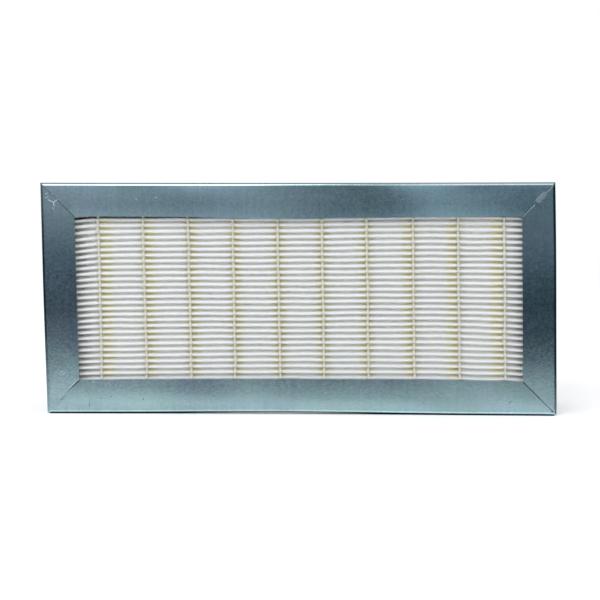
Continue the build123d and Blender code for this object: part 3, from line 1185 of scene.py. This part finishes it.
# Above eye level they go across, from left to right: pale wall, dark gap, pale wall, dark end.
upper_room_stops = [
    (-15.0, (0.45, 0.43, 0.48)),
    (-11.5, (0.48, 0.475, 0.54)),
    (-9.3, (0.49, 0.5, 0.59)),
    (-3.6, (0.46, 0.485, 0.55)),
    (-2.4, (0.4, 0.41, 0.44)),
    (-1.3, (0.27, 0.27, 0.3)),
    (-0.1, (0.16, 0.17, 0.2)),
    (0.7, (0.1, 0.12, 0.16)),
    (1.7, (0.13, 0.18, 0.22)),
    (3.0, (0.32, 0.38, 0.42)),
    (4.9, (0.44, 0.5, 0.56)),
    (6.4, (0.37, 0.43, 0.5)),
    (7.4, (0.25, 0.31, 0.36)),
    (8.3, (0.15, 0.2, 0.25)),
    (9.4, (0.1, 0.14, 0.18)),
    (12.0, (0.15, 0.19, 0.24)),
]


def room_directions(tree):
    """A direction's rise, turn from straight ahead and place across, in degrees, and its y."""
    where = tree.nodes.new("ShaderNodeTexCoord")
    split = tree.nodes.new("ShaderNodeSeparateXYZ")
    tree.links.new(where.outputs["Generated"], split.inputs[0])
    x, y, z = split.outputs
    degree = math.degrees(1)
    rise = product(tree, arithmetic(tree, "ARCSINE", z), degree)
    turn = product(tree, arithmetic(tree, "ARCTAN2", x, product(tree, y, -1.0)), degree)
    across = product(tree, arithmetic(tree, "ARCSINE", x), degree)
    return rise, turn, across, y


def colour_scale(tree, value, stops):
    """Colours at their angles, run evenly from one to the next."""
    first, last = stops[0][0], stops[-1][0]
    scale = tree.nodes.new("ShaderNodeValToRGB")
    elements = scale.color_ramp.elements
    while len(elements) < len(stops):
        elements.new(0.5)
    for element, (angle, colour) in zip(elements, stops):
        element.position = (angle - first) / (last - first)
        element.color = (*colour, 1)
    tree.links.new(ramp(tree, value, first, last, smooth=False), scale.inputs["Fac"])
    return scale.outputs["Color"]


def lower_room(tree, rise, across):
    """Room below eye level, darker to the right and brighter at the left of the floor."""
    room = colour_scale(tree, rise, lower_room_stops)
    right = product(tree, ramp(tree, across, 5.8, 10.0), ramp(tree, rise, -8.0, -6.2))
    right = product(tree, right, ramp(tree, rise, -1.0, -3.8), 0.72)
    room = blend(tree, right, room, (0.02, 0.05, 0.07))
    levels = blend(tree, ramp(tree, across, -6.0, 1.0), (1.1, 1.1, 1.1), (0.8, 0.8, 0.8))
    return blend(tree, ramp(tree, rise, -7.9, -8.7), room, levels, mode="MULTIPLY")


def upper_room(tree, rise, across):
    """Room above eye level, brighter with height."""
    room = colour_scale(tree, across, upper_room_stops)
    lift = arithmetic(tree, "MULTIPLY_ADD", ramp(tree, rise, -0.5, 4.0), 0.5, 0.8)
    lift = arithmetic(tree, "MULTIPLY_ADD", ramp(tree, rise, 2.2, 5.0), 0.6, lift)
    room = blend(tree, 1.0, room, lift, mode="MULTIPLY")
    haze = product(tree, ramp(tree, rise, 0.9, 2.8), 0.5)
    return blend(tree, haze, room, (0.45, 0.5, 0.56))


def dim_places(tree, rise, across):
    """Mask of two dim places at eye level: right of the middle, and near the right end."""
    middle = near(tree, across, 1.2, 3.4, 1.0)
    end = product(tree, ramp(tree, across, 6.2, 7.6), ramp(tree, across, 9.6, 8.8))
    both = arithmetic(tree, "MAXIMUM", middle, end)
    return product(tree, both, ramp(tree, rise, 1.9, 0.6), ramp(tree, rise, -0.8, 0.3), 0.6)


def dark_sides(tree, rise, turn):
    """Mask of the dark walls at both sides. It is weaker near the floor and high up at the left."""
    sides = ramp(tree, arithmetic(tree, "ABSOLUTE", turn), 15.0, 24.0)
    left = ramp(tree, turn, 0.0, -10.0)
    held = arithmetic(tree, "MULTIPLY_ADD", ramp(tree, rise, -14.0, -6.0), 0.5, 0.47)
    soft = product(tree, ramp(tree, rise, -1.5, 1.5), left)
    held = arithmetic(tree, "MULTIPLY_ADD", soft, -0.5, held)
    foot = arithmetic(tree, "MAXIMUM", left, ramp(tree, rise, -7.9, -8.6))
    foot = product(tree, foot, ramp(tree, rise, -6.2, -8.6))
    held = arithmetic(tree, "MULTIPLY_ADD", foot, -0.45, held)
    return product(tree, sides, held, ramp(tree, rise, -40.0, -20.0))


def overhead_light(tree, rise, across, y):
    """Mask of the bright strip above the camera, thinner high up and flagged in its middle."""
    strip = product(tree, ramp(tree, rise, 12.0, 23.0), ramp(tree, y, 0.05, -0.05))
    thin = arithmetic(tree, "MULTIPLY_ADD", ramp(tree, rise, 42.0, 66.0), -0.45, 1.0)
    flag = arithmetic(tree, "MULTIPLY_ADD", near(tree, across, -0.7, 4.4, 1.4), -0.62, 1.0)
    return product(tree, strip, thin, flag)


def studio_world(sky_level):
    """Even light for matt surfaces, white for the camera, and a soft room for the metal to show."""
    world = bpy.data.worlds.new("studio_world")
    world.use_nodes = True
    tree = world.node_tree
    tree.nodes.clear()
    rise, turn, across, y = room_directions(tree)
    eye_level = ramp(tree, rise, -0.6, 1.4)
    room = blend(tree, eye_level, lower_room(tree, rise, across), upper_room(tree, rise, across))
    room = blend(tree, dim_places(tree, rise, across), room, (0.02, 0.04, 0.06))
    room = blend(tree, dark_sides(tree, rise, turn), room, (0.01, 0.025, 0.04))

    # White walls and a grey ceiling behind the panel, and the bright strip in front of it
    behind = ramp(tree, arithmetic(tree, "ABSOLUTE", turn), 128.0, 148.0)
    room = blend(tree, behind, room, (1.0, 1.0, 1.0))
    ceiling = product(tree, ramp(tree, rise, 26.0, 36.0), ramp(tree, y, 0.0, 0.05))
    room = blend(tree, ceiling, room, (0.34, 0.37, 0.42))
    strip = blend(tree, ramp(tree, across, 0.0, 6.0), (1.5, 1.25, 1.22), (1.9, 1.6, 1.56))
    room = blend(tree, overhead_light(tree, rise, across, y), room, strip)

    # The camera sees white, mirrors see the room, and matt surfaces get the even light
    path = tree.nodes.new("ShaderNodeLightPath")
    direct, glossy = path.outputs["Is Camera Ray"], path.outputs["Is Glossy Ray"]
    shown = blend(tree, direct, room, (1.0, 1.0, 1.0))
    seen = arithmetic(tree, "ADD", direct, glossy)
    seen = arithmetic(tree, "ADD", seen, path.outputs["Is Transmission Ray"], clamp=True)
    even = blend(tree, ramp(tree, rise, -30.0, 80.0), (0.8, 0.8, 0.8), (1.15, 1.15, 1.15))
    even = blend(tree, 1.0, even, (sky_level,) * 3, mode="MULTIPLY")
    light = tree.nodes.new("ShaderNodeBackground")
    tree.links.new(blend(tree, seen, even, shown), light.inputs["Color"])
    output = tree.nodes.new("ShaderNodeOutputWorld")
    tree.links.new(light.outputs[0], output.inputs["Surface"])
    bpy.context.scene.world = world


def painted_floor_shadow(tree, x, y, direct):
    """Mask of the painted shadow on the floor that the panel covers. A direct view looks in under
    the bowed channel.
    """
    away = arithmetic(tree, "DIVIDE", arithmetic(tree, "SUBTRACT", x, bow_middle), bow_reach)
    hump = arithmetic(tree, "EXPONENT", product(tree, away, away, -1.0))
    hump = product(tree, hump, direct)
    seen_under = 4.8
    under = arithmetic(tree, "MULTIPLY_ADD", hump, seen_under, arithmetic(tree, "ABSOLUTE", y))
    painted_shadow_mask = ramp(tree, under, half_depth + 0.2, half_depth - 0.7)
    lean_here = lean_share() * frame_height / 2
    aside = near(tree, x, lean_here, half_width - 0.4, half_width - 1.4)
    return product(tree, painted_shadow_mask, aside)


def pale_floor():
    """Plain white sheet that the panel stands on."""
    corners = [(-1800, -1500, 0), (1800, -1500, 0), (1800, 1800, 0), (-1800, 1800, 0)]
    mesh = bpy.data.meshes.new("floor")
    mesh.from_pydata(np.array(corners, float) * MM, [], [(0, 1, 2, 3)])
    material, tree, shader = new_material("pale_floor", Roughness=0.9, Specular_IOR_Level=0.1)
    x, y, _ = place_axes(tree)
    path = tree.nodes.new("ShaderNodeLightPath")
    glossy = path.outputs["Is Glossy Ray"]
    front = -half_depth

    # Plain tone, with painted shadow where the panel keeps the light off
    cloudy = effect(tree, "Clouds", Size=180.0, Detail=2.0, Low=0.2, High=0.8)
    tone = blend(tree, cloudy, (0.86, 0.87, 0.88), (0.88, 0.89, 0.9))
    painted_shadow_mask = painted_floor_shadow(tree, x, y, arithmetic(tree, "SUBTRACT", 1.0, glossy))
    tone = blend(tree, painted_shadow_mask, tone, (0.05, 0.06, 0.07))
    tree.links.new(tone, shader.inputs["Base Color"])

    # A little lift to white, and a painted glow just in front of the panel, seen only in
    # reflections, for the lower bend of the frame to mirror as a bright line
    lift = tree.nodes.new("ShaderNodeEmission")
    lift.inputs["Color"].default_value = (1, 1, 1, 1)
    painted_glow_near_front = product(tree, ramp(tree, y, front - 8.0, front - 3.0), glossy)
    painted_glow_near_front = product(tree, painted_glow_near_front, ramp(tree, y, front + 0.2, front - 0.6))
    glow = product(tree, path.outputs["Is Camera Ray"], 0.22)
    glow = arithmetic(tree, "MULTIPLY_ADD", painted_glow_near_front, 0.6, glow)
    glow = product(tree, glow, arithmetic(tree, "SUBTRACT", 1.0, painted_shadow_mask))
    tree.links.new(glow, lift.inputs["Strength"])
    both = tree.nodes.new("ShaderNodeAddShader")
    tree.links.new(shader.outputs[0], both.inputs[0])
    tree.links.new(lift.outputs[0], both.inputs[1])

    # Further off the metal mirrors the room in place of the floor, sooner at the right
    nearer = arithmetic(tree, "MULTIPLY_ADD", ramp(tree, x, -45.0, 15.0), -34.0, y)
    far = ramp(tree, nearer, front - 45.0, front - 110.0)
    wide = ramp(tree, arithmetic(tree, "ABSOLUTE", x), half_width + 1.0, half_width + 8.0)
    clear = product(tree, arithmetic(tree, "MAXIMUM", far, wide), glossy)
    fade = tree.nodes.new("ShaderNodeMixShader")
    see_through = tree.nodes.new("ShaderNodeBsdfTransparent")
    tree.links.new(clear, fade.inputs[0])
    tree.links.new(both.outputs[0], fade.inputs[1])
    tree.links.new(see_through.outputs[0], fade.inputs[2])
    tree.links.new(fade.outputs[0], tree.nodes["Material Output"].inputs["Surface"])
    mesh.materials.append(material)
    floor = bpy.data.objects.new("floor", mesh)
    bpy.context.scene.collection.objects.link(floor)


def soft_lamp(power):
    """Square lamp above the camera, turned to the middle of the panel. Its places are in metres."""
    lamp = bpy.data.lights.new("key_lamp", "AREA")
    lamp.shape = "SQUARE"
    lamp.size = 0.9
    lamp.energy = power
    holder = bpy.data.objects.new("key_lamp", lamp)
    holder.location = (-0.45, -0.95, 1.0)
    direction = Vector((0, 0, 0.06)) - holder.location
    holder.rotation_euler = direction.to_track_quat("-Z", "Y").to_euler()
    bpy.context.scene.collection.objects.link(holder)


def aim_camera(studio):
    """Camera from its place and its yaw and pitch."""
    yaw, pitch = (math.radians(a) for a in studio.camera_turn)
    level = math.cos(pitch)
    ahead = Vector((math.sin(yaw) * level, math.cos(yaw) * level, math.sin(pitch)))
    right = ahead.cross(Vector((0, 0, 1))).normalized()
    up = right.cross(ahead)
    lens = bpy.data.cameras.new("camera")
    lens.lens = studio.focal_length
    lens.sensor_width = 36.0
    lens.clip_start, lens.clip_end = 0.01, 20.0
    camera = bpy.data.objects.new("camera", lens)
    turn = Matrix((right, up, -ahead)).transposed().to_4x4()
    camera.matrix_world = Matrix.Translation(Vector(studio.camera_place)) @ turn
    bpy.context.scene.collection.objects.link(camera)
    bpy.context.scene.camera = camera


# Operators


class FILTERPANEL_OT_set_studio(bpy.types.Operator):
    """Put up the camera, the pale floor, the soft lamp and the studio world"""

    bl_idname = "filter_panel.set_studio"
    bl_label = "Set up the studio"

    def execute(self, context):
        studio = context.scene.filter_panel_studio
        aim_camera(studio)
        pale_floor()
        studio_world(studio.sky_level)
        soft_lamp(studio.key_power)
        context.scene.view_settings.view_transform = "Standard"
        return {"FINISHED"}


class FILTERPANEL_OT_dress_channels(bpy.types.Operator):
    """Dress the four galvanised channels with rubbed edges, bows and worn mitres"""

    bl_idname = "filter_panel.dress_channels"
    bl_label = "Dress the channels"

    def execute(self, context):
        sheet = context.scene.filter_panel_sheet
        zinc = galvanised_sheet(tuple(sheet.zinc_colour))
        for node in ("top_channel", "bottom_channel", "left_channel", "right_channel"):
            dress_channel(node, zinc, sheet)
        return {"FINISHED"}


class FILTERPANEL_OT_fold_media(bpy.types.Operator):
    """Fold the media into the pack"""

    bl_idname = "filter_panel.fold_media"
    bl_label = "Fold the media"

    def execute(self, context):
        fold_media(context)
        return {"FINISHED"}


class FILTERPANEL_OT_lay_beads(bpy.types.Operator):
    """Lay the hot melt beads over the folds, front and rear"""

    bl_idname = "filter_panel.lay_beads"
    bl_label = "Lay the glue beads"

    def execute(self, context):
        lay_beads(context)
        return {"FINISHED"}


class FILTERPANEL_OT_pour_potting(bpy.types.Operator):
    """Finish the four slabs of potting compound"""

    bl_idname = "filter_panel.pour_potting"
    bl_label = "Finish the potting"

    def execute(self, context):
        compound = potting(tuple(context.scene.filter_panel_trim.potting_colour))
        for node in ("potting_top", "potting_bottom", "potting_left", "potting_right"):
            pour_slab(node, compound)
        return {"FINISHED"}


class FILTERPANEL_OT_stick_gasket(bpy.types.Operator):
    """Stick the foam gasket on the rear flanges"""

    bl_idname = "filter_panel.stick_gasket"
    bl_label = "Stick the gasket"

    def execute(self, context):
        foam = closed_cell_foam(tuple(context.scene.filter_panel_trim.foam_colour))
        for seed, side in enumerate(("top", "bottom", "left", "right")):
            node = "gasket_" + side
            points, faces = loft(gasket_skin(*node_box(node), seed))
            add_piece("foam_strip_" + side, points, faces, foam, [node], crease=50.0)
        return {"FINISHED"}


class FILTERPANEL_OT_smear_sealant(bpy.types.Operator):
    """Smear the dab of sealant over the top right mitre"""

    bl_idname = "filter_panel.smear_sealant"
    bl_label = "Smear the sealant"

    def execute(self, context):
        grey = sealant(tuple(context.scene.filter_panel_trim.sealant_colour))
        node = "mitre_sealant_dab"
        points, faces = loft(dab_skin(*node_box(node)))
        add_piece("sealant_smear", points, faces, grey, [node], crease=60.0)
        return {"FINISHED"}


making_steps = (
    "set_studio",
    "dress_channels",
    "fold_media",
    "lay_beads",
    "pour_potting",
    "stick_gasket",
    "smear_sealant",
)


class FILTERPANEL_PT_making(bpy.types.Panel):
    """Sidebar panel with one button for each making step"""

    bl_idname = "FILTERPANEL_PT_making"
    bl_label = "Filter Panel"
    bl_space_type = "VIEW_3D"
    bl_region_type = "UI"
    bl_category = "Filter Panel"

    def draw(self, context):
        for step in making_steps:
            self.layout.operator("filter_panel." + step)


setting_groups = {
    "filter_panel_sheet": SheetSettings,
    "filter_panel_media": MediaSettings,
    "filter_panel_glue": GlueSettings,
    "filter_panel_trim": TrimSettings,
    "filter_panel_studio": StudioSettings,
}
classes = (
    *setting_groups.values(),
    FILTERPANEL_OT_set_studio,
    FILTERPANEL_OT_dress_channels,
    FILTERPANEL_OT_fold_media,
    FILTERPANEL_OT_lay_beads,
    FILTERPANEL_OT_pour_potting,
    FILTERPANEL_OT_stick_gasket,
    FILTERPANEL_OT_smear_sealant,
    FILTERPANEL_PT_making,
)


def register():
    for cls in classes:
        bpy.utils.register_class(cls)
    for name, group in setting_groups.items():
        setattr(bpy.types.Scene, name, PointerProperty(type=group))


def unregister():
    for name in setting_groups:
        delattr(bpy.types.Scene, name)
    for cls in reversed(classes):
        bpy.utils.unregister_class(cls)


def main():
    """Make every piece in order."""
    register()
    for step in making_steps:
        getattr(bpy.ops.filter_panel, step)()


if __name__ == "__main__":
    main()
